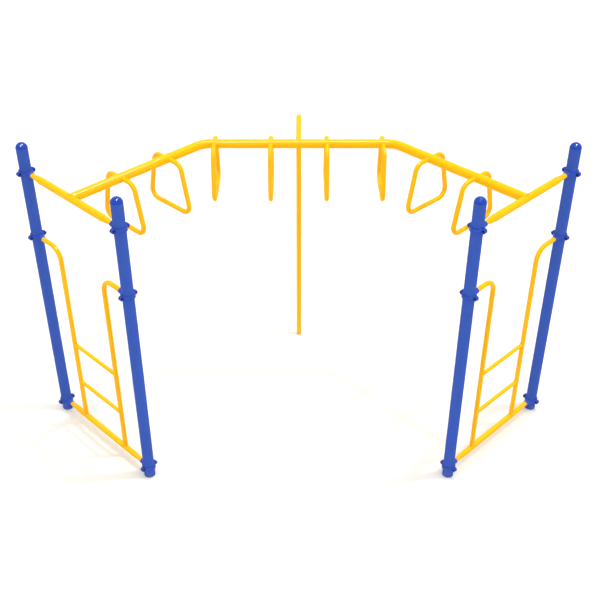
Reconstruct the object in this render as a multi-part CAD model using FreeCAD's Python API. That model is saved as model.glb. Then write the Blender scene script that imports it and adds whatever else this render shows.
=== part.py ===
import FreeCAD, Part
import math
import os

from FreeCAD import Placement, Rotation, Vector

# Overhead monkey bars: two ladder end frames set at an angle, an overhead beam bent twice in
# plan that joins them, hand loops welded under the beam, and one support pole behind it.
#
# Millimetres. +X runs along the middle of the overhead beam, +Y towards the support pole and
# +Z up. The origin is on the ground, at the centre of the part's footprint.

# Layout in plan, measured from the line through the two front posts
FRONT_HALF_WIDTH = 1216.0      # mirror plane to a front post
FRAME_SPAN = 1178.0            # front post to back post of one end frame
FRAME_ANGLE = 45.0             # degrees, end frame to the X axis
MIDDLE_SETBACK = 1316.5        # front post line to the middle stretch of the overhead beam
MIDDLE_HALF_LENGTH = 760.0     # mirror plane to the corner where the beam turns
POLE_SETBACK = 1919.0          # front post line to the support pole

# Heights above the ground
OVERHEAD_HEIGHT = 2321.0       # axis of the overhead beam, the end beams and the top clamps
RAIL_CLAMP_HEIGHT = 1768.0     # axis of the clamps that hold the ladder rails
SILL_HEIGHT = 90.5             # axis of the bottom beams and the bottom clamps
RUNG_HEIGHTS = {"lower": 470.0, "upper": 860.0}
POST_LENGTH = 2522.0

# Tubes, outside diameter and wall
POST_OD = 88.9
POST_WALL = 2.9
END_BEAM_OD = 57.2
END_BEAM_WALL = 2.6
SILL_OD = 48.3
SILL_WALL = 2.6
MAIN_BEAM_OD = 73.0
MAIN_BEAM_WALL = 3.2
MAIN_BEAM_BEND_RADIUS = 160.0
RAIL_OD = 38.1
RAIL_WALL = 2.4
RAIL_BEND_RADIUS = 108.0
RAIL_OFFSET = 308.0            # post axis to the ladder rail beside it
RUNG_OD = 31.8
RUNG_WALL = 2.4
LOOP_OD = 38.1
LOOP_WALL = 2.4
POLE_OD = 44.5
POLE_WALL = 2.6
POLE_BEND_RADIUS = 108.0

# Swaged ends of the end beams and bottom beams, measured from the post axis
NECK_END = 120.0
SWAGE_TAPER = 80.0             # length of the taper
SWAGE_BLEND_RADIUS = 150.0

# Hand loops, four on each side of the mirror plane
LOOPS_PER_SIDE = 4
LOOP_PITCH = 446.0             # along the beam
LOOP_TOP_HALF_WIDTH = 151.0    # corner of the loop's centreline, at the beam's height
LOOP_BOTTOM_HALF_WIDTH = 242.5
LOOP_DROP = 403.5              # beam axis to the loop's bottom bar
LOOP_TOP_BEND_RADIUS = 75.0
LOOP_BOTTOM_BEND_RADIUS = 70.0

# Two-piece clamps
CLAMP_HEIGHT = 30.0
COLLAR_WALL = 10.2
SPLIT_GAP = 4.0                # between the two halves
LUG_RADIUS = 18.5
LUG_DEPTH = 10.0               # of one half, from the split
LUG_WEB_HEIGHT = 22.0
BOLT_TO_COLLAR = 3.6           # bolt axis to the outside of the collar
BOSS_WALL = 3.6
BOSS_REACH = 45.5              # post surface to the socket's mouth
SOCKET_FLOOR = 8.0             # post surface to the end of the tube in the socket
SOFT_EDGE = 1.2                # rounding of the cast edges

# Clamp bolts and nuts, M10
BOLT_DIAMETER = 10.0
BOLT_HOLE_CLEARANCE = 0.5
BOLT_HEAD_DIAMETER = 17.5
BOLT_HEAD_HEIGHT = 5.5
BOLT_SOCKET_ACROSS_FLATS = 6.0
BOLT_SOCKET_DEPTH = 3.1
NUT_ACROSS_FLATS = 16.0
NUT_HEIGHT = 8.0
THREAD_CLEARANCE = 0.1
COUNTERBORE_DEPTH = 6.0
COUNTERBORE_CLEARANCE = 0.8

# Post caps
CAP_RISE = 40.0                # end of the post to the top of the dome
CAP_LIP = 0.8                  # by which the dome stands proud of the post all round
CAP_PLUG_LENGTH = 22.0
CAP_WALL = 3.0                 # of the plug inside the post

# Clearance between a piece and the tube that it grips or holds
SLIDE_FIT = 0.2

POST_RADIUS = POST_OD / 2
RAIL_RADIUS = RAIL_OD / 2
NECK_RADIUS = RAIL_RADIUS      # the same socket takes a ladder rail or a swaged end
COLLAR_INNER = POST_RADIUS + SLIDE_FIT
COLLAR_OUTER = COLLAR_INNER + COLLAR_WALL
SOCKET_SEAT = POST_RADIUS + SOCKET_FLOOR
SOCKET_MOUTH = POST_RADIUS + BOSS_REACH
LUG_CENTRE = COLLAR_OUTER + BOLT_TO_COLLAR
LUG_FACE = SPLIT_GAP / 2 + LUG_DEPTH
BOLT_SEAT = LUG_FACE - COUNTERBORE_DEPTH
UP = Vector(0, 0, 1)
SIDES = {"left": -1, "right": 1}


def polar(angle, length=1.0):
    """Horizontal vector of a length at an angle in degrees from +X."""
    return Vector(math.cos(math.radians(angle)), math.sin(math.radians(angle)), 0) * length


def rod(start, end, radius):
    """Solid cylinder from one point to another."""
    return Part.makeCylinder(radius, start.distanceToPoint(end), start, end - start)


def rounded_path(points, radii):
    """Wire through points, with the inner corners rounded by arcs of the given radii."""
    edges = []
    start = points[0]
    for before, corner, after, radius in zip(points, points[1:], points[2:], radii):
        towards = (before - corner).normalize()
        onwards = (after - corner).normalize()
        half_angle = towards.getAngle(onwards) / 2
        tangent = radius / math.tan(half_angle)
        bisector = (towards + onwards).normalize()
        middle = corner + bisector * (radius / math.sin(half_angle) - radius)
        arc_start = corner + towards * tangent
        arc_end = corner + onwards * tangent
        edges.append(Part.makeLine(start, arc_start))
        edges.append(Part.Arc(arc_start, middle, arc_end).toShape())
        start = arc_end
    edges.append(Part.makeLine(start, points[-1]))
    return Part.Wire(edges)


def bent_bar(points, radii, radius):
    """Solid round bar along a rounded path."""
    path = rounded_path(points, radii)
    section = Part.Wire(Part.makeCircle(radius, points[0], points[1] - points[0]))
    return path.makePipeShell([section], True, False)


def bent_tube(points, radii, outside, wall):
    """Round tube along a rounded path."""
    return bent_bar(points, radii, outside / 2).cut(bent_bar(points, radii, outside / 2 - wall))


def turned_bar(profile, radii):
    """Solid of revolution about X below a rounded profile of (x, radius) points."""
    outline = rounded_path([Vector(x, 0, r) for x, r in profile], radii)
    first, last = profile[0], profile[-1]
    corners = [Vector(last[0], 0, last[1]), Vector(last[0], 0, 0), Vector(first[0], 0, 0)]
    closing = Part.makePolygon(corners + [Vector(first[0], 0, first[1])])
    face = Part.Face(Part.Wire(outline.Edges + closing.Edges))
    return face.revolve(Vector(), Vector(1, 0, 0), 360)


class EndFrame:
    """Positions in one of the two ladder end frames."""

    def __init__(self, side):
        self.sign = SIDES[side]
        outwards = 90 - self.sign * (90 - FRAME_ANGLE)
        self.front = Vector(self.sign * FRONT_HALF_WIDTH, 0, 0)
        self.back = self.front + polar(outwards, FRAME_SPAN)
        self.middle = (self.front + self.back) / 2
        # Angle at which the frame's tubes leave each post
        self.posts = {"front": (self.front, outwards), "back": (self.back, outwards + 180)}

    def placement(self, end, height):
        """Frame whose origin is on a post's axis and whose +X points at the other post."""
        post, angle = self.posts[end]
        return Placement(post + UP * height, Rotation(UP, angle))


def post():
    """Plain tube standing on the ground."""
    return rod(Vector(), UP * POST_LENGTH, POST_RADIUS).cut(
        rod(Vector(), UP * POST_LENGTH, POST_RADIUS - POST_WALL))


def dome(radius, centre, base_height):
    """Part of a sphere above a level."""
    low = math.degrees(math.asin((base_height - centre.z) / radius))
    return Part.makeSphere(radius, centre, UP, low, 90)


def post_cap():
    """Dome that sits on the end of the post, with a hollow plug inside the post."""
    lip = POST_RADIUS + CAP_LIP
    plug = POST_RADIUS - POST_WALL - SLIDE_FIT
    bore = plug - CAP_WALL
    radius = (lip**2 + CAP_RISE**2) / (2 * CAP_RISE)
    end = UP * POST_LENGTH
    foot = end - UP * CAP_PLUG_LENGTH
    centre = end + UP * (CAP_RISE - radius)
    outside = dome(radius, centre, POST_LENGTH).fuse(rod(foot, end, plug))
    hollow = [rod(foot, end, bore), dome(radius - (lip - bore), centre, POST_LENGTH)]
    return outside.cut(hollow).removeSplitter()


def clamp_lugs():
    """The two bolt lugs of one clamp half, on the +X side of the split."""
    split = SPLIT_GAP / 2
    lugs = []
    for sign in (-1, 1):
        axis = Vector(split, sign * LUG_CENTRE, 0)
        face = Vector(LUG_FACE, sign * LUG_CENTRE, 0)
        knuckle = rod(axis, face, LUG_RADIUS)
        low_y = min(0, sign * LUG_CENTRE)
        web = Part.makeBox(LUG_DEPTH, LUG_CENTRE, LUG_WEB_HEIGHT,
                           Vector(split, low_y, -LUG_WEB_HEIGHT / 2))
        lugs.append(knuckle.fuse(web))
    return lugs


def clamp_bolt_holes():
    """Cutters for the through holes and counterbores of the half on the +X side."""
    hole = (BOLT_DIAMETER / 2) + BOLT_HOLE_CLEARANCE
    nut_corner = NUT_ACROSS_FLATS / math.sqrt(3)
    recess = max(BOLT_HEAD_DIAMETER / 2, nut_corner) + COUNTERBORE_CLEARANCE
    cutters = []
    for sign in (-1, 1):
        axis = Vector(0, sign * LUG_CENTRE, 0)
        cutters.append(rod(axis, axis + Vector(LUG_FACE, 0, 0), hole))
        cutters.append(rod(axis + Vector(BOLT_SEAT, 0, 0), axis + Vector(COLLAR_OUTER, 0, 0), recess))
    return cutters


def clamp_half(boss=None):
    """Half collar with its lugs, on the +X side of the split, and with a boss if one is given."""
    half_height = UP * (CLAMP_HEIGHT / 2)
    collar = rod(half_height * -1, half_height, COLLAR_OUTER)
    keep = Part.makeBox(2 * SOCKET_MOUTH, 4 * SOCKET_MOUTH, 4 * SOCKET_MOUTH,
                        Vector(SPLIT_GAP / 2, -2 * SOCKET_MOUTH, -2 * SOCKET_MOUTH))
    body = collar.common(keep).multiFuse(clamp_lugs() + ([boss] if boss else []))
    bore = rod(UP * -SOCKET_MOUTH, UP * SOCKET_MOUTH, COLLAR_INNER)
    return body.cut([bore] + clamp_bolt_holes()).removeSplitter()


def socket_half(tube_radius):
    """Clamp half whose boss takes the end of a tube."""
    radius = tube_radius + SLIDE_FIT + BOSS_WALL
    mouth = Vector(SOCKET_MOUTH, 0, 0)
    boss = rod(Vector(SPLIT_GAP / 2, 0, 0), mouth, radius)
    rim = [edge for edge in boss.Edges if edge.BoundBox.XMin > SOCKET_MOUTH - SOFT_EDGE / 2]
    boss = boss.makeFillet(SOFT_EDGE, rim)
    socket = rod(Vector(SOCKET_SEAT, 0, 0), mouth, tube_radius + SLIDE_FIT)
    return clamp_half(boss).cut(socket)


def strap_half():
    """Plain clamp half, on the side away from the tube."""
    return clamp_half().mirror(Vector(), Vector(1, 0, 0))


def clamp_bolts():
    """Button-head bolts of one clamp, heads on the strap's side."""
    bolts = []
    for sign in (-1, 1):
        axis = Vector(0, sign * LUG_CENTRE, 0)
        seat = axis - Vector(BOLT_SEAT, 0, 0)
        tip = axis + Vector(BOLT_SEAT + NUT_HEIGHT, 0, 0)
        top = seat - Vector(BOLT_HEAD_HEIGHT, 0, 0)
        head = rod(seat, top, BOLT_HEAD_DIAMETER / 2)
        crown = [edge for edge in head.Edges if edge.BoundBox.XMax < top.x + BOLT_HEAD_HEIGHT / 2]
        head = head.makeFillet(BOLT_HEAD_HEIGHT / 2, crown)
        key = hexagon(BOLT_SOCKET_ACROSS_FLATS, BOLT_SOCKET_DEPTH, top)
        bolts.append(head.fuse(rod(seat, tip, BOLT_DIAMETER / 2)).cut(key).removeSplitter())
    return bolts


def clamp_nuts():
    """Hexagon nuts of one clamp, in the socket half's counterbores."""
    nuts = []
    for sign in (-1, 1):
        seat = Vector(BOLT_SEAT, sign * LUG_CENTRE, 0)
        thread = rod(seat, seat + Vector(NUT_HEIGHT, 0, 0), BOLT_DIAMETER / 2 + THREAD_CLEARANCE)
        nuts.append(hexagon(NUT_ACROSS_FLATS, NUT_HEIGHT, seat).cut(thread))
    return nuts


def hexagon(across_flats, height, base):
    """Hexagonal prism that stands on a point and runs along +X."""
    corner = across_flats / math.sqrt(3)
    outline = [base + Vector(0, corner * math.cos(k * math.pi / 3), corner * math.sin(k * math.pi / 3))
               for k in range(7)]
    return Part.Face(Part.makePolygon(outline)).extrude(Vector(height, 0, 0))


def swaged_bar(radius, neck_radius):
    """Solid bar along +X between two sockets of an end frame, necked at both ends."""
    profile = [(SOCKET_SEAT, neck_radius), (NECK_END, neck_radius), (NECK_END + SWAGE_TAPER, radius)]
    profile += [(FRAME_SPAN - x, r) for x, r in reversed(profile)]
    return turned_bar(profile, [SWAGE_BLEND_RADIUS] * 4)


def swaged_tube(outside, wall):
    """Tube between two sockets of an end frame, with the same wall in the necked ends."""
    return swaged_bar(outside / 2, NECK_RADIUS).cut(swaged_bar(outside / 2 - wall, NECK_RADIUS - wall))


def rail_points(frame, end):
    """Corner points of a ladder rail, from its clamp to the bottom beam's axis."""
    post_axis, angle = frame.posts[end]
    clamp = post_axis + UP * RAIL_CLAMP_HEIGHT
    corner = clamp + polar(angle, RAIL_OFFSET)
    return [clamp + polar(angle, SOCKET_SEAT), corner, corner + UP * (SILL_HEIGHT - RAIL_CLAMP_HEIGHT)]


def ladder_rail(frame, end, sill):
    """Ladder rail that leaves a post level, turns down and stands on the bottom beam."""
    return bent_tube(rail_points(frame, end), [RAIL_BEND_RADIUS], RAIL_OD, RAIL_WALL).cut(sill)


def rung(frame, height):
    """Ladder rung between the two rails."""
    start, end = [rail_points(frame, name)[2] for name in ("front", "back")]
    rails = [rod(foot, foot + UP * RAIL_CLAMP_HEIGHT, RAIL_RADIUS) for foot in (start, end)]
    level = UP * (height - SILL_HEIGHT)
    bar = rod(start + level, end + level, RUNG_OD / 2)
    return bar.cut([rod(start + level, end + level, RUNG_OD / 2 - RUNG_WALL)] + rails)


def main_beam_points(frames):
    """Corner points of the overhead beam, from one end beam's axis to the other's."""
    level = UP * OVERHEAD_HEIGHT
    corners = [Vector(SIDES[side] * MIDDLE_HALF_LENGTH, MIDDLE_SETBACK, 0) for side in frames]
    left, right = [frame.middle for frame in frames.values()]
    return [point + level for point in (left, corners[0], corners[1], right)]


def beam_station(points, distance):
    """Point on the overhead beam and its direction, at a distance from the mirror plane."""
    side = 1 if distance > 0 else -1
    corner, end = (points[2], points[3]) if side > 0 else (points[1], points[0])
    along = Vector(side, 0, 0)
    inclined = (end - corner).normalize()
    turn = along.getAngle(inclined)
    tangent = MAIN_BEAM_BEND_RADIUS * math.tan(turn / 2)
    past_bend = abs(distance) - (MIDDLE_HALF_LENGTH - tangent)
    if past_bend <= 0:
        return corner + along * (past_bend - tangent), along
    arc_length = MAIN_BEAM_BEND_RADIUS * turn
    if past_bend >= arc_length:
        return corner + inclined * (tangent + past_bend - arc_length), inclined
    swept = past_bend / MAIN_BEAM_BEND_RADIUS
    towards_front = Vector(0, -1, 0)
    direction = along * math.cos(swept) + towards_front * math.sin(swept)
    centre = corner - along * tangent + towards_front * MAIN_BEAM_BEND_RADIUS
    outward = along * math.sin(swept) - towards_front * math.cos(swept)
    return centre + outward * MAIN_BEAM_BEND_RADIUS, direction


def hand_loop(station, direction, beam):
    """Tube bent into a trapezoid across the beam, with its two ends on the beam's sides."""
    across = UP.cross(direction)
    start = across * (MAIN_BEAM_OD / 4)
    top = across * LOOP_TOP_HALF_WIDTH
    bottom = across * LOOP_BOTTOM_HALF_WIDTH
    drop = UP * -LOOP_DROP
    offsets = [start, top, bottom + drop, bottom * -1 + drop, top * -1, start * -1]
    bends = [LOOP_TOP_BEND_RADIUS, LOOP_BOTTOM_BEND_RADIUS, LOOP_BOTTOM_BEND_RADIUS, LOOP_TOP_BEND_RADIUS]
    return bent_tube([station + offset for offset in offsets], bends, LOOP_OD, LOOP_WALL).cut(beam)


def support_pole(beam):
    """Pole that stands behind the beam and reaches forward to its middle."""
    start = Vector(0, MIDDLE_SETBACK, OVERHEAD_HEIGHT)
    corner = Vector(0, POLE_SETBACK, OVERHEAD_HEIGHT)
    foot = Vector(0, POLE_SETBACK, 0)
    return bent_tube([start, corner, foot], [POLE_BEND_RADIUS], POLE_OD, POLE_WALL).cut(beam)


def placed(shapes, placement):
    """Copies of shapes moved by a placement."""
    return [shape.transformed(placement.toMatrix()) for shape in shapes]


def end_frame_nodes(side, frame):
    """All nodes of one end frame, and the solid bar that the overhead beam is coped to."""
    nodes = {}
    bolts, nuts = [], []
    levels = {"top": OVERHEAD_HEIGHT, "middle": RAIL_CLAMP_HEIGHT, "bottom": SILL_HEIGHT}
    for end in frame.posts:
        ground = frame.placement(end, 0)
        nodes[f"post_{end}_{side}"], nodes[f"post_cap_{end}_{side}"] = placed([post(), post_cap()], ground)
        for level, height in levels.items():
            spot = frame.placement(end, height)
            socket, strap = placed([socket_half(NECK_RADIUS), strap_half()], spot)
            nodes[f"clamp_socket_{level}_{end}_{side}"] = socket
            nodes[f"clamp_strap_{level}_{end}_{side}"] = strap
            bolts += placed(clamp_bolts(), spot)
            nuts += placed(clamp_nuts(), spot)
    nodes[f"clamp_bolts_{side}"] = Part.makeCompound(bolts)
    nodes[f"clamp_nuts_{side}"] = Part.makeCompound(nuts)

    top = frame.placement("front", OVERHEAD_HEIGHT)
    low = frame.placement("front", SILL_HEIGHT)
    nodes[f"end_beam_{side}"] = placed([swaged_tube(END_BEAM_OD, END_BEAM_WALL)], top)[0]
    nodes[f"bottom_beam_{side}"] = placed([swaged_tube(SILL_OD, SILL_WALL)], low)[0]
    end_bar = placed([swaged_bar(END_BEAM_OD / 2, NECK_RADIUS)], top)[0]
    sill_bar = placed([swaged_bar(SILL_OD / 2, NECK_RADIUS)], low)[0]
    for end in frame.posts:
        nodes[f"ladder_rail_{end}_{side}"] = ladder_rail(frame, end, sill_bar)
    for name, height in RUNG_HEIGHTS.items():
        nodes[f"rung_{name}_{side}"] = rung(frame, height)
    return nodes, end_bar


def overhead_nodes(frames, end_bars):
    """The overhead beam, its hand loops and the support pole."""
    points = main_beam_points(frames)
    bends = [MAIN_BEAM_BEND_RADIUS] * 2
    bar = bent_bar(points, bends, MAIN_BEAM_OD / 2)
    nodes = {
        "main_beam": bent_tube(points, bends, MAIN_BEAM_OD, MAIN_BEAM_WALL).cut(end_bars),
        "support_pole": support_pole(bar),
    }
    for side, sign in SIDES.items():
        for number in range(1, LOOPS_PER_SIDE + 1):
            station, direction = beam_station(points, sign * (number - 0.5) * LOOP_PITCH)
            nodes[f"hand_loop_{side}_{number}"] = hand_loop(station, direction, bar)
    return nodes


def build():
    """All nodes, moved so that the origin is under the middle of the footprint."""
    frames = {side: EndFrame(side) for side in SIDES}
    nodes, end_bars = {}, []
    for side, frame in frames.items():
        frame_nodes, end_bar = end_frame_nodes(side, frame)
        nodes.update(frame_nodes)
        end_bars.append(end_bar)
    nodes.update(overhead_nodes(frames, end_bars))
    footprint = Part.makeCompound(list(nodes.values())).optimalBoundingBox(False, False)
    centring = Placement(Vector(0, -footprint.Center.y, 0), Rotation())
    return {name: placed([shape], centring)[0] for name, shape in nodes.items()}


os.makedirs("parts", exist_ok=True)
for node, shape in build().items():
    print(node, len(shape.Solids), "solid(s)", round(shape.Volume / 1000, 1), "cm3", shape.isValid())
    shape.exportStep(f"parts/{node}.step")
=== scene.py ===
"""Looks of a set of overhead monkey bars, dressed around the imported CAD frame.

Everything is in metres in the frame of the CAD model: +X along the middle of the overhead
beam, +Y towards the support pole, +Z up and the ground at zero.
"""

import logging
import math
from collections.abc import Iterable, Mapping, Sequence
from dataclasses import dataclass
from enum import Enum

import bmesh
import bpy
from mathutils import Euler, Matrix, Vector

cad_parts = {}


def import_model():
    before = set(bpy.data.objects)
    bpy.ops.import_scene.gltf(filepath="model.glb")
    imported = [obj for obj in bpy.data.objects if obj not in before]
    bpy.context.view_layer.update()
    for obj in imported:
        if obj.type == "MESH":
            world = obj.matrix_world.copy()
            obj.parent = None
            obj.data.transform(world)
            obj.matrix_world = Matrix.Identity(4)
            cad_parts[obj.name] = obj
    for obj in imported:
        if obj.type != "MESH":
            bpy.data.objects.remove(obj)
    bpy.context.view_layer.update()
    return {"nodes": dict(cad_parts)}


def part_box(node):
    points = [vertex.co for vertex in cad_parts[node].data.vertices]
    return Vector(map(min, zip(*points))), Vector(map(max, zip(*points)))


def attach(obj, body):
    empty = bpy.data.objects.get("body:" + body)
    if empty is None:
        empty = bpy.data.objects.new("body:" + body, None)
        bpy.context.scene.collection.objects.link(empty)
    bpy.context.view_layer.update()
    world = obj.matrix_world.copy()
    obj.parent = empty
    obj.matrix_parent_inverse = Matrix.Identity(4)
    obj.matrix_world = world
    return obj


LOG = logging.getLogger("monkey_bars")
UP = Vector((0.0, 0.0, 1.0))
BODY = "root"

Colour = tuple[float, float, float]


class Slot(Enum):
    """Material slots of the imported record."""

    POST = "blue_coat"
    CAP = "cap_coat"
    CLAMP = "clamp_coat"
    BAR = "yellow_coat"
    FASTENER = "fastener"


class Side(Enum):
    """The two halves of the part, seen from the front."""

    LEFT = "left"
    RIGHT = "right"


class End(Enum):
    """The two posts of one end frame."""

    FRONT = "front"
    BACK = "back"


class Level(Enum):
    """The three clamps on each post."""

    TOP = "top"
    MIDDLE = "middle"
    BOTTOM = "bottom"


class Socket:
    """Output socket of a shader node, with arithmetic on its value."""

    def __init__(self, graph: "ShaderGraph", output: bpy.types.NodeSocket) -> None:
        """Wraps an output.

        Args:
            graph: The graph that the socket belongs to.
            output: The output socket.
        """
        self.graph = graph
        self.output = output

    def _math(self, operation: str, first: "Socket | float", second: "Socket | float") -> "Socket":
        """Adds a Math node.

        Args:
            operation: Blender's name of the operation.
            first: First operand.
            second: Second operand.

        Returns:
            The node's value.
        """
        return self.graph.node("ShaderNodeMath", {"operation": operation}, {0: first, 1: second})

    def __add__(self, other: "Socket | float") -> "Socket":
        """Sum."""
        return self._math("ADD", self, other)

    def __radd__(self, other: float) -> "Socket":
        """Sum with a number on the left."""
        return self._math("ADD", other, self)

    def __sub__(self, other: "Socket | float") -> "Socket":
        """Difference."""
        return self._math("SUBTRACT", self, other)

    def __rsub__(self, other: float) -> "Socket":
        """Difference from a number on the left."""
        return self._math("SUBTRACT", other, self)

    def __mul__(self, other: "Socket | float") -> "Socket":
        """Product."""
        return self._math("MULTIPLY", self, other)

    def __rmul__(self, other: float) -> "Socket":
        """Product with a number on the left."""
        return self._math("MULTIPLY", other, self)


class ShaderGraph:
    """Node tree of one material, ending in one Principled shader."""

    def __init__(self, name: str) -> None:
        """Makes the material and its shader.

        Args:
            name: Name of the material.
        """
        self.material = bpy.data.materials.new(name)
        self.material.use_nodes = True
        self.tree = self.material.node_tree
        self.tree.nodes.clear()
        self.shader = self.tree.nodes.new("ShaderNodeBsdfPrincipled")
        output = self.tree.nodes.new("ShaderNodeOutputMaterial")
        self.tree.links.new(self.shader.outputs["BSDF"], output.inputs["Surface"])

    @staticmethod
    def _find(sockets: Iterable[bpy.types.NodeSocket], key: str | int) -> bpy.types.NodeSocket:
        """Finds a socket by place, identifier or name.

        Args:
            sockets: Inputs or outputs of a node.
            key: Place, identifier or name.

        Returns:
            The socket.
        """
        listed = list(sockets)
        if isinstance(key, int):
            return listed[key]
        named = [s for s in listed if s.identifier == key] or [s for s in listed if s.name == key]
        return named[0]

    def node(
        self,
        kind: str,
        settings: Mapping[str, object] | None = None,
        inputs: Mapping[str | int, object] | None = None,
        output: str | int = 0,
    ) -> Socket:
        """Adds a node.

        Args:
            kind: Blender's type of the node.
            settings: Properties, set first.
            inputs: Values or links of its sockets.
            output: The output that is wanted.

        Returns:
            The wanted output.
        """
        made = self.tree.nodes.new(kind)
        for key, value in (settings or {}).items():
            setattr(made, key, value)
        for key, value in (inputs or {}).items():
            self.plug(self._find(made.inputs, key), value)
        return Socket(self, self._find(made.outputs, output))

    def plug(self, target: bpy.types.NodeSocket, value: object) -> None:
        """Links or sets an input.

        Args:
            target: The input socket.
            value: A wrapped socket, a colour or a number.
        """
        if isinstance(value, Socket):
            self.tree.links.new(value.output, target)
        elif isinstance(value, tuple):
            target.default_value = (*value, 1.0)
        else:
            target.default_value = value

    def set_shader(self, values: Mapping[str, object]) -> None:
        """Sets or links the shader's own sockets.

        Args:
            values: Value or link of each named socket.
        """
        for key, value in values.items():
            self.plug(self._find(self.shader.inputs, key), value)

    def place(self) -> Socket:
        """Position on the object, in metres."""
        return self.node("ShaderNodeTexCoord", output="Object")

    def height(self) -> Socket:
        """Height above the ground, in metres."""
        return self.node("ShaderNodeSeparateXYZ", inputs={0: self.place()}, output="Z")

    def noise(self, cell: float, detail: float = 2.0, roughness: float = 0.5) -> Socket:
        """Cloudy noise from 0 to 1.

        Args:
            cell: Size of its blotches in metres.
            detail: Octaves.
            roughness: Strength of the finer octaves.

        Returns:
            The noise value.
        """
        inputs = {
            "Vector": self.place(),
            "Scale": 1 / cell,
            "Detail": detail,
            "Roughness": roughness,
        }
        return self.node("ShaderNodeTexNoise", inputs=inputs)

    def ramped(self, value: Socket, low: float, high: float) -> Socket:
        """Smooth step of a value.

        Args:
            value: The value.
            low: Where the result is 0.
            high: Where the result is 1.

        Returns:
            The result, clamped.
        """
        settings = {"interpolation_type": "SMOOTHSTEP", "clamp": True}
        inputs = {"Value": value, "From Min": low, "From Max": high}
        return self.node("ShaderNodeMapRange", settings, inputs)

    def blend(self, factor: Socket, first: object, second: object) -> Socket:
        """Mix of two colours.

        Args:
            factor: 0 for the first, 1 for the second.
            first: Colour or link.
            second: Colour or link.

        Returns:
            The mixed colour.
        """
        inputs = {"Factor_Float": factor, "A_Color": first, "B_Color": second}
        return self.node("ShaderNodeMix", {"data_type": "RGBA"}, inputs, "Result_Color")

    def bump(
        self, height: Socket, depth: float, strength: float, under: Socket | None = None
    ) -> Socket:
        """Bumped normal.

        Args:
            height: Height from 0 to 1.
            depth: Depth of the relief in metres.
            strength: Share of it that shows.
            under: A coarser bump below this one.

        Returns:
            The normal.
        """
        inputs = {"Height": height, "Distance": depth, "Strength": strength}
        if under is not None:
            inputs["Normal"] = under
        return self.node("ShaderNodeBump", inputs=inputs)


def scaled(colour: Colour, factor: float) -> Colour:
    """Colour made lighter or darker.

    Args:
        colour: Linear colour.
        factor: Multiplier.

    Returns:
        The new colour.
    """
    return tuple(min(1.0, part * factor) for part in colour)


@dataclass(frozen=True)
class PowderCoat:
    """Powder coat on steel tube, nearly matt or glossy.

    Attributes:
        name: Name of the material.
        colour: Linear colour of the coat.
        specular: Strength of its mirror reflection.
        roughness: Middle value of its roughness.
        drift: Share by which the colour drifts along a tube.
        drift_cell: Size of the patches of that drift.
        grain_cell: Size of the pigment grain.
        grain: Share of the grain that shows.
        grain_shade: Brightness of a grain, as a share of the coat's.
        cloud: Roughness that slow clouds add.
        rub: Roughness that faint rub marks add.
        peel_cell: Size of the orange-peel cells.
        peel_depth: Depth of the orange peel.
        dust: Share of dust at the foot of the part.
        dust_low: Height below which the dust is full.
        dust_high: Height above which there is none.
        dust_colour: Linear colour of that dust.
    """

    name: str
    colour: Colour
    specular: float = 0.5
    roughness: float = 0.3
    drift: float = 0.035
    drift_cell: float = 0.55
    grain_cell: float = 0.0016
    grain: float = 0.10
    grain_shade: float = 0.86
    cloud: float = 0.07
    rub: float = 0.03
    peel_cell: float = 0.0024
    peel_depth: float = 0.00005
    dust: float = 0.10
    dust_low: float = 0.01
    dust_high: float = 0.16
    dust_colour: Colour = (0.52, 0.47, 0.40)

    def tint(self, graph: ShaderGraph) -> Socket:
        """Colour of the coat.

        Args:
            graph: The material's graph.

        Returns:
            The colour, with slow drift, pigment grain and dust near the ground.
        """
        slow = graph.noise(self.drift_cell, detail=3.0)
        grain = graph.noise(self.grain_cell, detail=1.0)
        darker = scaled(self.colour, 1 - self.drift)
        lighter = scaled(self.colour, 1 + self.drift)
        base = graph.blend(slow, darker, lighter)
        base = graph.blend(grain * self.grain, base, scaled(self.colour, self.grain_shade))
        foot = 1 - graph.ramped(graph.height(), self.dust_low, self.dust_high)
        patches = graph.ramped(graph.noise(0.03, detail=4.0), low=0.35, high=0.75)
        return graph.blend(foot * patches * self.dust, base, self.dust_colour)

    def sheen_map(self, graph: ShaderGraph) -> Socket:
        """Roughness of the coat.

        Args:
            graph: The material's graph.

        Returns:
            The roughness, cloudy, with faint rub marks.
        """
        cloud = graph.noise(0.09, detail=3.0)
        rub = graph.noise(0.012)
        lowest = self.roughness - (self.cloud + self.rub) / 2
        return lowest + cloud * self.cloud + rub * self.rub

    def relief(self, graph: ShaderGraph) -> Socket:
        """Orange peel, over a slow unevenness of the tube.

        Args:
            graph: The material's graph.

        Returns:
            The normal.
        """
        slow = graph.noise(0.035, detail=1.0)
        uneven = graph.bump(slow, self.peel_depth * 2.2, strength=0.5)
        peel = graph.noise(self.peel_cell, detail=1.5)
        return graph.bump(peel, self.peel_depth, strength=0.45, under=uneven)

    def material(self) -> bpy.types.Material:
        """Makes the material.

        Returns:
            The material.
        """
        graph = ShaderGraph(self.name)
        graph.set_shader({
            "Base Color": self.tint(graph),
            "Roughness": self.sheen_map(graph),
            "Normal": self.relief(graph),
            "Specular IOR Level": self.specular,
        })
        return graph.material


@dataclass(frozen=True)
class GripCoat(PowderCoat):
    """Powder coat of the hand loops, polished where hands hold the bottom bar.

    Attributes:
        grip_low: Height below which the bar is fully polished.
        grip_high: Height above which it is as new.
        polish: Drop in roughness where it is polished.
    """

    grip_low: float = 1.93
    grip_high: float = 1.99
    polish: float = 0.03

    def sheen_map(self, graph: ShaderGraph) -> Socket:
        """Roughness of the coat.

        Args:
            graph: The material's graph.

        Returns:
            The roughness, lower on the worn bottom bar.
        """
        worn = 1 - graph.ramped(graph.height(), self.grip_low, self.grip_high)
        patches = graph.ramped(graph.noise(0.05, detail=3.0), low=0.25, high=0.70)
        return super().sheen_map(graph) - worn * patches * self.polish


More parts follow.
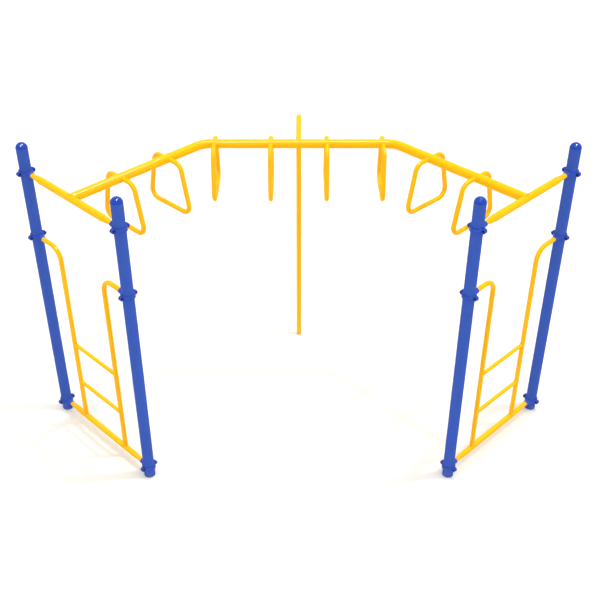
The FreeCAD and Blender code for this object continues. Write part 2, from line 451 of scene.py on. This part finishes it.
@dataclass(frozen=True)
class CastCoat(PowderCoat):
    """Powder coat over sand-cast aluminium, with a grainy skin under it.

    Attributes:
        skin_cell: Size of the casting's grain.
        skin_depth: Depth of that grain.
    """

    skin_cell: float = 0.0014
    skin_depth: float = 0.00012

    def relief(self, graph: ShaderGraph) -> Socket:
        """Cast skin under the coat's own orange peel.

        Args:
            graph: The material's graph.

        Returns:
            The normal.
        """
        lumps = graph.bump(graph.noise(0.011), self.skin_depth * 2.0, strength=0.5)
        sand = graph.noise(self.skin_cell, detail=2.5, roughness=0.6)
        skin = graph.bump(sand, self.skin_depth, strength=0.6, under=lumps)
        peel = graph.noise(self.peel_cell, detail=1.0)
        return graph.bump(peel, self.peel_depth, strength=0.4, under=skin)


@dataclass(frozen=True)
class ZincInPaintedShade:
    """Zinc plating of the clamp bolts and nuts, coloured near black and bluish as painted shade of
    the recesses they sit in.

    Attributes:
        name: Name of the material.
        colour: Linear colour of the metal, near black with a blue tint: painted shade of the bolt
            recesses.
        bloom: Linear colour of its dull patches.
        scratch_depth: Depth of its fine scratches.
    """

    name: str
    # painted shade: near black with a blue tint, for the shade in the bolt recesses
    colour: Colour = (0.010, 0.012, 0.022)
    bloom: Colour = (0.030, 0.032, 0.045)
    scratch_depth: float = 0.00004

    def material(self) -> bpy.types.Material:
        """Makes the material.

        Returns:
            The material.
        """
        graph = ShaderGraph(self.name)
        patches = graph.ramped(graph.noise(0.004, detail=3.0), low=0.40, high=0.72)
        scratches = graph.noise(0.0007)
        graph.set_shader({
            "Base Color": graph.blend(patches, self.colour, self.bloom),
            "Metallic": 0.85 - patches * 0.25,
            "Roughness": 0.36 + patches * 0.18 + scratches * 0.05,
            "Normal": graph.bump(scratches, self.scratch_depth, strength=0.4),
        })
        return graph.material


@dataclass(frozen=True)
class StudioPaper:
    """Matt white paper of the studio floor.

    Attributes:
        name: Name of the material.
        colour: Linear colour.
        mottle: Share by which the colour varies.
        tooth: Depth of its surface.
    """

    name: str
    colour: Colour = (0.80, 0.80, 0.80)
    mottle: float = 0.005
    tooth: float = 0.00005

    def material(self) -> bpy.types.Material:
        """Makes the material.

        Returns:
            The material.
        """
        graph = ShaderGraph(self.name)
        darker = scaled(self.colour, 1 - self.mottle)
        lighter = scaled(self.colour, 1 + self.mottle)
        graph.set_shader({
            "Base Color": graph.blend(graph.noise(0.8), darker, lighter),
            "Roughness": 0.9 + graph.noise(0.01) * 0.08,
            "Normal": graph.bump(graph.noise(0.002), self.tooth, strength=0.2),
            "Specular IOR Level": 0.0,
        })
        return graph.material


@dataclass
class Finishes:
    """Every finish of the part, ready to put on its pieces.

    Attributes:
        post_blue_painted_reflection: Linear colour of the posts, lifted above the coat's own blue
            to paint the reflection that their nearly matt coat leaves out.
        cap_blue: Linear colour of the caps.
        clamp_blue_painted_shade: Linear colour of the clamps, a darker copy of the posts' blue
            that paints the shade in the clamps' recesses and between their lugs.
        yellow: Linear colour of the beams, ladders, loops and pole.
    """

    # painted reflection: the posts' blue is lifted above the coat's own to stand in for the gloss
    # that their nearly matt coat (specular 0.015) leaves out
    post_blue_painted_reflection: Colour = (0.0455, 0.106, 0.494)
    cap_blue: Colour = (0.015, 0.060, 0.43)
    # painted shade: the clamps' blue is a darker copy of the posts' blue, for the shade in their
    # recesses and between their lugs
    clamp_blue_painted_shade: Colour = (0.036, 0.086, 0.483)
    yellow: Colour = (0.98, 0.492, 0.006)

    def __post_init__(self) -> None:
        """Makes the materials, one for each slot, and the loops' own."""
        blue = PowderCoat("blue_powder_coat", self.post_blue_painted_reflection, specular=0.015, roughness=0.5)
        cap = PowderCoat("cap_powder_coat", self.cap_blue, specular=0.15, roughness=0.10)
        clamp = CastCoat("clamp_powder_coat", self.clamp_blue_painted_shade, specular=0.06, roughness=0.30)
        yellow = PowderCoat("yellow_powder_coat", self.yellow, specular=0.06, roughness=0.11)
        grip = GripCoat("loop_powder_coat", self.yellow, specular=0.06, roughness=0.11)
        self.slots = {
            Slot.POST: blue.material(),
            Slot.CAP: cap.material(),
            Slot.CLAMP: clamp.material(),
            Slot.BAR: yellow.material(),
            Slot.FASTENER: ZincInPaintedShade("zinc_painted_shade").material(),
        }
        self.grip = grip.material()

    @staticmethod
    def put(piece: bpy.types.Object, material: bpy.types.Material) -> None:
        """Gives a piece one material.

        Args:
            piece: The piece.
            material: Its material.
        """
        if not piece.material_slots:
            piece.data.materials.append(material)
        for place in piece.material_slots:
            place.material = material

    def dress(self, piece: bpy.types.Object, slot: Slot) -> None:
        """Gives a piece the finish of a slot."""
        self.put(piece, self.slots[slot])


@dataclass
class WeldBead:
    """Ripple of weld round a tube that ends on the side of another tube.

    Attributes:
        crossing: Where the two axes meet.
        branch: Direction of the tube that ends.
        run: Direction of the tube that carries it.
        branch_radius: Radius of the tube that ends.
        run_radius: Radius of the tube that carries it.
        bead_radius: Radius of the bead.
        ripple_pitch: Distance between ripples.
        ripple: Share by which they swell.
        ripple_steps: Cross-sections to each ripple.
        ring_corners: Corners of a cross-section.
        look_ahead: Angle, in radians, over which the seam's direction is taken.
    """

    crossing: Vector
    branch: Vector
    run: Vector
    branch_radius: float
    run_radius: float
    bead_radius: float = 0.0030
    ripple_pitch: float = 0.0042
    ripple: float = 0.13
    ripple_steps: int = 5
    ring_corners: int = 8
    look_ahead: float = 0.01

    def point(self, turn: float) -> Vector:
        """Point on the seam.

        Args:
            turn: Angle round the branch in radians.

        Returns:
            The point. It stays within the bead of the carrying tube's side.
        """
        across = self.branch.cross(self.run)
        limit = self.run_radius + self.bead_radius
        offset = max(-limit, min(limit, self.branch_radius * math.sin(turn)))
        reach = math.sqrt(max(self.run_radius**2 - offset**2, 0.0))
        along = self.run * (self.branch_radius * math.cos(turn))
        return self.crossing + along + across * offset + self.branch * reach

    def add_to(self, mesh: bmesh.types.BMesh) -> None:
        """Adds the bead to a mesh.

        Args:
            mesh: The mesh.
        """
        around = 2 * math.pi * self.branch_radius
        ripples = round(around / self.ripple_pitch)
        steps = ripples * self.ripple_steps
        across = self.branch.cross(self.run)
        rings = []
        for step in range(steps):
            turn = 2 * math.pi * step / steps
            ahead, behind = self.point(turn + self.look_ahead), self.point(turn - self.look_ahead)
            tangent = (ahead - behind).normalized()
            outward = self.run * math.cos(turn) + across * math.sin(turn)
            outward = (outward - tangent * outward.dot(tangent)).normalized()
            side = tangent.cross(outward)
            swell = 1 + self.ripple * math.cos(2 * math.pi * ripples * step / steps)
            radius = self.bead_radius * swell
            ring = []
            for corner in range(self.ring_corners):
                angle = 2 * math.pi * corner / self.ring_corners
                offset = outward * math.cos(angle) + side * math.sin(angle)
                ring.append(mesh.verts.new(self.point(turn) + offset * radius))
            rings.append(ring)
        for ring, following in zip(rings, rings[1:] + rings[:1]):
            for corner in range(self.ring_corners):
                beside = (corner + 1) % self.ring_corners
                mesh.faces.new((ring[corner], ring[beside], following[beside], following[corner]))


def make_piece(
    name: str, mesh: bmesh.types.BMesh, slot: Slot, finishes: Finishes
) -> bpy.types.Object:
    """Makes an object of a mesh and puts it on the part.

    Args:
        name: Name of the piece.
        mesh: Its mesh, which is freed.
        slot: Its material slot.
        finishes: The finishes.

    Returns:
        The object.
    """
    bmesh.ops.recalc_face_normals(mesh, faces=mesh.faces[:])
    data = bpy.data.meshes.new(name)
    mesh.to_mesh(data)
    mesh.free()
    data.shade_smooth()
    piece = bpy.data.objects.new(name, data)
    bpy.context.scene.collection.objects.link(piece)
    finishes.dress(piece, slot)
    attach(piece, BODY)
    return piece


def weld_piece(name: str, beads: Iterable[WeldBead], finishes: Finishes) -> bpy.types.Object:
    """Makes one piece of several weld beads.

    Args:
        name: Name of the piece.
        beads: The beads.
        finishes: The finishes.

    Returns:
        The object.
    """
    mesh = bmesh.new()
    for bead in beads:
        bead.add_to(mesh)
    return make_piece(name, mesh, Slot.BAR, finishes)


def middle(node: str) -> Vector:
    """Centre of a CAD node's box."""
    low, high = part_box(node)
    return (low + high) / 2


def level_with(point: Vector, height: float) -> Vector:
    """Point in plan at a height.

    Args:
        point: The point in plan.
        height: The height.

    Returns:
        The new point.
    """
    return Vector((point.x, point.y, height))


@dataclass
class EndFrame:
    """One ladder end frame: two capped posts, six clamps, two beams, two rails and two rungs.

    Attributes:
        side: Which of the two frames.
        nodes: The CAD nodes by name.
        finishes: The finishes.
        rail_offset: Post axis to the ladder rail beside it.
        rail_radius: Radius of a rail.
        rung_radius: Radius of a rung.
        sill_radius: Radius of the bottom beam between its necks.
        rung_bead: Radius of the weld beads of the rungs.
    """

    side: Side
    nodes: Mapping[str, bpy.types.Object]
    finishes: Finishes
    rail_offset: float = 0.308
    rail_radius: float = 0.01905
    rung_radius: float = 0.0159
    sill_radius: float = 0.02415
    rung_bead: float = 0.0026

    def post(self, end: End) -> Vector:
        """Foot of a post's axis."""
        return level_with(middle(f"post_{end.value}_{self.side.value}"), 0.0)

    def direction(self) -> Vector:
        """Level direction from the front post to the back post."""
        return (self.post(End.BACK) - self.post(End.FRONT)).normalized()

    def rail(self, end: End) -> Vector:
        """Foot of a rail's axis."""
        inwards = self.direction() * (1 if end is End.FRONT else -1)
        return self.post(end) + inwards * self.rail_offset

    def beads(self) -> list[WeldBead]:
        """Welds of the ladder.

        Returns:
            One bead where each rung meets a rail and each rail meets the bottom beam.
        """
        along = self.direction()
        sill_height = middle(f"bottom_beam_{self.side.value}").z
        beads = []
        for end in End:
            foot = self.rail(end)
            inwards = along * (1 if end is End.FRONT else -1)
            sill = level_with(foot, sill_height)
            beads.append(WeldBead(sill, UP, along, self.rail_radius, self.sill_radius))
            for rung in ("lower", "upper"):
                spot = level_with(foot, middle(f"rung_{rung}_{self.side.value}").z)
                radii = (self.rung_radius, self.rail_radius, self.rung_bead)
                beads.append(WeldBead(spot, inwards, UP, *radii))
        return beads

    def build(self) -> None:
        """Dresses the frame's CAD nodes and adds its welds."""
        side = self.side.value
        for end in End:
            self.finishes.dress(self.nodes[f"post_{end.value}_{side}"], Slot.POST)
            self.finishes.dress(self.nodes[f"post_cap_{end.value}_{side}"], Slot.CAP)
            self.finishes.dress(self.nodes[f"ladder_rail_{end.value}_{side}"], Slot.BAR)
            for level in Level:
                for half in ("socket", "strap"):
                    node = self.nodes[f"clamp_{half}_{level.value}_{end.value}_{side}"]
                    self.finishes.dress(node, Slot.CLAMP)
        for name in ("end_beam", "bottom_beam", "rung_lower", "rung_upper"):
            self.finishes.dress(self.nodes[f"{name}_{side}"], Slot.BAR)
        for name in ("clamp_bolts", "clamp_nuts"):
            self.finishes.dress(self.nodes[f"{name}_{side}"], Slot.FASTENER)
        piece = weld_piece(f"ladder_welds_{side}", self.beads(), self.finishes)
        LOG.info("end frame %s dressed, with %s", side, piece.name)


@dataclass
class Overhead:
    """The overhead beam, its hand loops and the support pole behind it.

    Attributes:
        nodes: The CAD nodes by name.
        finishes: The finishes.
        beam_radius: Radius of the overhead beam.
        end_beam_radius: Radius of the end beams that it is welded to.
        loop_radius: Radius of a loop's tube.
        pole_radius: Radius of the support pole.
        loops_per_side: Loops on each side of the pole.
        end_bead_radius: Radius of the weld beads at the ends of the beam.
    """

    nodes: Mapping[str, bpy.types.Object]
    finishes: Finishes
    beam_radius: float = 0.0365
    end_beam_radius: float = 0.0286
    loop_radius: float = 0.01905
    pole_radius: float = 0.02225
    loops_per_side: int = 4
    end_bead_radius: float = 0.0042

    def loop_names(self, side: Side) -> list[str]:
        """Names of one side's loops, from the pole outwards."""
        return [f"hand_loop_{side.value}_{number}" for number in range(1, self.loops_per_side + 1)]

    def station(self, loop: str) -> Vector:
        """Point of the beam's axis that a loop crosses."""
        return level_with(middle(loop), middle("main_beam").z)

    def stretch(self, side: Side, number: int) -> Vector:
        """Direction of the beam at a loop.

        Args:
            side: The loop's side.
            number: Its place in the side's row, from 0.

        Returns:
            The direction, away from the pole.
        """
        stations = [self.station(name) for name in self.loop_names(side)]
        first = 0 if number < self.loops_per_side // 2 else self.loops_per_side // 2
        return (stations[first + 1] - stations[first]).normalized()

    def loop_beads(self, side: Side) -> list[WeldBead]:
        """Welds of one side's loops.

        Args:
            side: The side.

        Returns:
            The beads, two for each loop.
        """
        beads = []
        for number, name in enumerate(self.loop_names(side)):
            run = self.stretch(side, number)
            for sign in (-1, 1):
                branch = UP.cross(run) * sign
                spot = self.station(name)
                beads.append(WeldBead(spot, branch, run, self.loop_radius, self.beam_radius))
        return beads

    def end_bead(self, side: Side) -> WeldBead:
        """Weld of the beam's end to an end beam.

        Args:
            side: The beam's end.

        Returns:
            The bead.
        """
        spot = middle(f"end_beam_{side.value}")
        inwards = -self.stretch(side, self.loops_per_side - 1)
        posts = [middle(f"post_{end.value}_{side.value}") for end in End]
        along = level_with(posts[1] - posts[0], 0.0).normalized()
        square = (inwards - along * inwards.dot(along)).normalized()
        radii = (self.beam_radius, self.end_beam_radius, self.end_bead_radius)
        return WeldBead(spot, square, along, *radii)

    def pole_bead(self) -> WeldBead:
        """Weld of the support pole's arm to the beam.

        Returns:
            The bead.
        """
        spot = self.station(self.loop_names(Side.LEFT)[0])
        spot.x = middle("support_pole").x
        ahead = Vector((0.0, 1.0, 0.0))
        return WeldBead(spot, ahead, Vector((1.0, 0.0, 0.0)), self.pole_radius, self.beam_radius)

    def build(self) -> None:
        """Dresses the overhead CAD nodes and adds their welds."""
        for name in ("main_beam", "support_pole"):
            self.finishes.dress(self.nodes[name], Slot.BAR)
        for side in Side:
            for name in self.loop_names(side):
                self.finishes.put(self.nodes[name], self.finishes.grip)
            beads = self.loop_beads(side) + [self.end_bead(side)]
            piece = weld_piece(f"overhead_welds_{side.value}", beads, self.finishes)
            LOG.info("overhead beam's %s half dressed, with %s", side.value, piece.name)
        piece = weld_piece("pole_weld", [self.pole_bead()], self.finishes)
        LOG.info("support pole dressed, with %s", piece.name)


@dataclass
class Studio:
    """Pale floor, soft light and the camera.

    Attributes:
        floor_radius: Radius of the floor.
        floor_drop: Depth of the floor under the ground plane, which keeps the two apart.
        light_colour: Linear colour of the sky, the key lamp and the fill light.
        sky_strength: Strength of the light from all round.
        key_place: Middle of the key lamp, a small bright ball far above and to the right.
        key_radius: Its radius.
        key_power: Its power in watts.
        fill_strength: Strength of the broad light overhead.
        fill_spread: Its angular width in degrees.
        strip_place: Middle of the strip lamp, which only the gloss of the coats picks up.
        strip_size: Its length and width.
        strip_turn: Its turn about the vertical in degrees.
        strip_power: Its power in watts.
        sensor: Width of the camera's sensor in millimetres.
        lens: Focal length in millimetres.
        sight: Distance at which the camera stops seeing.
        eye_right: Camera, to the right of the middle.
        eye_ahead: Camera, in front of the line of the front posts.
        eye_height: Camera above the ground.
        tilt: Turn of the camera about X in degrees, from straight down.
        pan: Turn of the camera about the vertical in degrees.
    """

    floor_radius: float = 60.0
    floor_drop: float = 0.0003
    light_colour: Colour = (1.0, 0.977, 0.915)
    sky_strength: float = 0.66
    key_place: tuple[float, float, float] = (7.29, 0.12, 34.5)
    key_radius: float = 0.64
    key_power: float = 12700.0
    fill_strength: float = 2.18
    fill_spread: float = 100.0
    strip_place: tuple[float, float, float] = (4.2, -2.43, 34.5)
    strip_size: tuple[float, float] = (38.0, 2.2)
    strip_turn: float = 52.5
    strip_power: float = 58000.0
    sensor: float = 36.0
    lens: float = 57.876
    sight: float = 500.0
    eye_right: float = 0.0117
    eye_ahead: float = 5.6726
    eye_height: float = 5.6538
    tilt: float = 55.305
    pan: float = 0.013

    def floor(self) -> None:
        """Makes the floor, a wide disc."""
        mesh = bmesh.new()
        bmesh.ops.create_circle(mesh, cap_ends=True, segments=96, radius=self.floor_radius)
        data = bpy.data.meshes.new("studio_floor")
        mesh.to_mesh(data)
        mesh.free()
        floor = bpy.data.objects.new("studio_floor", data)
        floor.location.z = -self.floor_drop
        bpy.context.scene.collection.objects.link(floor)
        Finishes.put(floor, StudioPaper("studio_paper").material())

    def sky(self) -> None:
        """Makes the light from all round."""
        world = bpy.data.worlds.new("studio_world")
        world.use_nodes = True
        background = world.node_tree.nodes["Background"]
        background.inputs["Color"].default_value = (*self.light_colour, 1.0)
        background.inputs["Strength"].default_value = self.sky_strength
        bpy.context.scene.world = world

    def key(self) -> None:
        """Makes the key lamp, which casts the shadows and leaves no glint of its own."""
        light = bpy.data.lights.new("key_light", "POINT")
        light.energy = self.key_power
        light.color = self.light_colour
        light.shadow_soft_size = self.key_radius
        lamp = bpy.data.objects.new("key_light", light)
        lamp.location = self.key_place
        lamp.visible_glossy = False
        bpy.context.scene.collection.objects.link(lamp)

    def fill(self) -> None:
        """Makes the broad light overhead, too soft to leave a glint or a shadow."""
        light = bpy.data.lights.new("fill_light", "SUN")
        light.energy = self.fill_strength
        light.color = self.light_colour
        light.angle = math.radians(self.fill_spread)
        lamp = bpy.data.objects.new("fill_light", light)
        lamp.visible_glossy = False
        bpy.context.scene.collection.objects.link(lamp)

    def strip(self) -> None:
        """Makes the strip lamp overhead, which lays the glints on the tubes and the caps."""
        light = bpy.data.lights.new("strip_light", "AREA")
        light.shape = "RECTANGLE"
        light.size, light.size_y = self.strip_size
        light.energy = self.strip_power
        lamp = bpy.data.objects.new("strip_light", light)
        lamp.location = self.strip_place
        lamp.rotation_euler = Euler((0.0, 0.0, math.radians(self.strip_turn)))
        lamp.visible_diffuse = False
        bpy.context.scene.collection.objects.link(lamp)

    def camera(self) -> None:
        """Makes the camera."""
        view = bpy.data.cameras.new("camera")
        view.lens = self.lens
        view.sensor_width = self.sensor
        view.clip_end = self.sight
        camera = bpy.data.objects.new("camera", view)
        front = middle("post_front_left").y
        camera.location = (self.eye_right, front - self.eye_ahead, self.eye_height)
        camera.rotation_euler = Euler((math.radians(self.tilt), 0.0, math.radians(self.pan)))
        bpy.context.scene.collection.objects.link(camera)
        bpy.context.scene.camera = camera

    def build(self) -> None:
        """Sets up the studio."""
        self.floor()
        self.sky()
        self.key()
        self.fill()
        self.strip()
        self.camera()
        bpy.context.scene.view_settings.view_transform = "Standard"
        LOG.info("studio ready")


def main() -> None:
    """Loads the frame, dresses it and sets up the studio."""
    logging.basicConfig(level=logging.INFO, format="%(message)s")
    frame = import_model()
    finishes = Finishes()
    for side in Side:
        EndFrame(side, frame["nodes"], finishes).build()
    Overhead(frame["nodes"], finishes).build()
    Studio().build()


if __name__ == "__main__":
    main()
